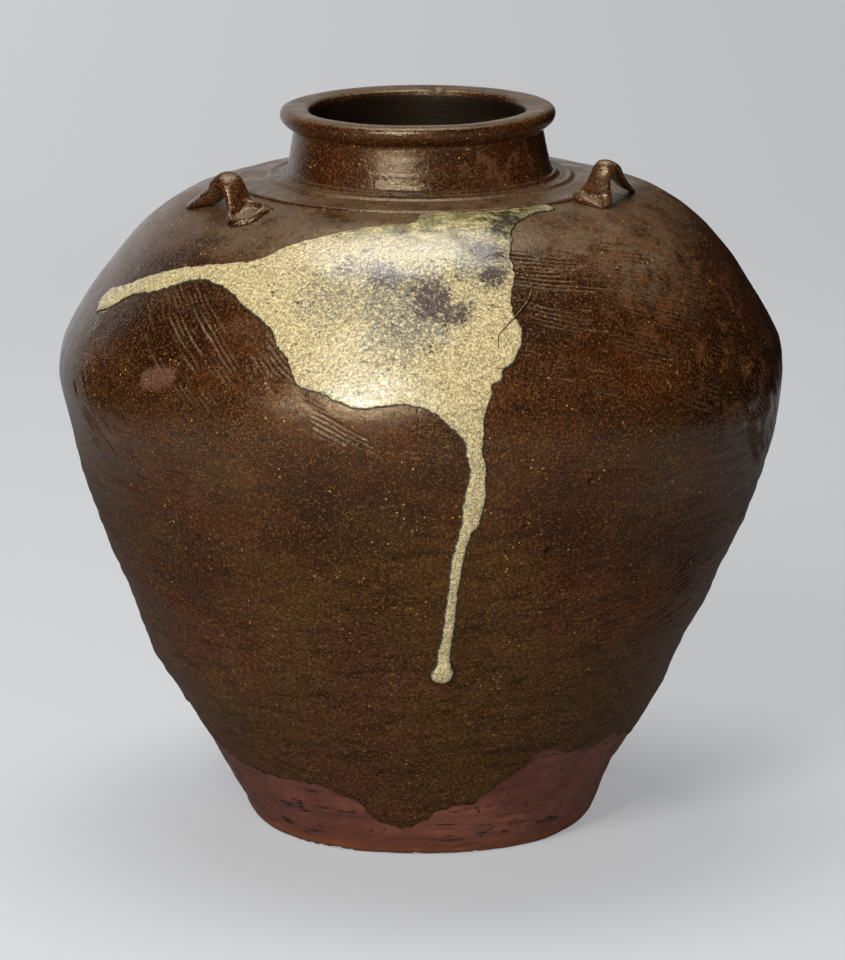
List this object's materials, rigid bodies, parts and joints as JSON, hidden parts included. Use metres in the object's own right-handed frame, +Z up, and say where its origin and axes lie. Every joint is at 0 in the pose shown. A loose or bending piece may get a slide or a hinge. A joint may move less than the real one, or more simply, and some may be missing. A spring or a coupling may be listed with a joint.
{
  "type": "storage jar",
  "caption": "Broad-shouldered stoneware martaban jar with a short collar, rolled lip, cord lugs, brown glaze and a pale poured run.",
  "frame": {"origin": "centre of the foot, on the surface that the jar stands on", "axes": "+Z up along the jar's axis; the poured side faces -Y; +X to the right of someone who looks at the pour"},
  "size_m": [0.3702, 0.3708, 0.37],
  "materials": {
    "bare_clay": "matt, fired to brick red-brown",
    "iron_glaze": "glossy dark red-brown iron glaze with fine yellow speckle",
    "ash_glaze": "satin straw-yellow ash glaze, grainy and mottled blue-grey"
  },
  "bodies": {
    "root": {"bare_foot": "bare_clay", "lower_wall": "iron_glaze", "belly_wall": "iron_glaze", "shoulder": "iron_glaze", "neck_collar": "iron_glaze", "rolled_lip": "iron_glaze", "lug_left": "iron_glaze", "lug_right": "iron_glaze", "lug_back": "iron_glaze", "ash_glaze_pour": "ash_glaze"}
  },
  "joints": []
}
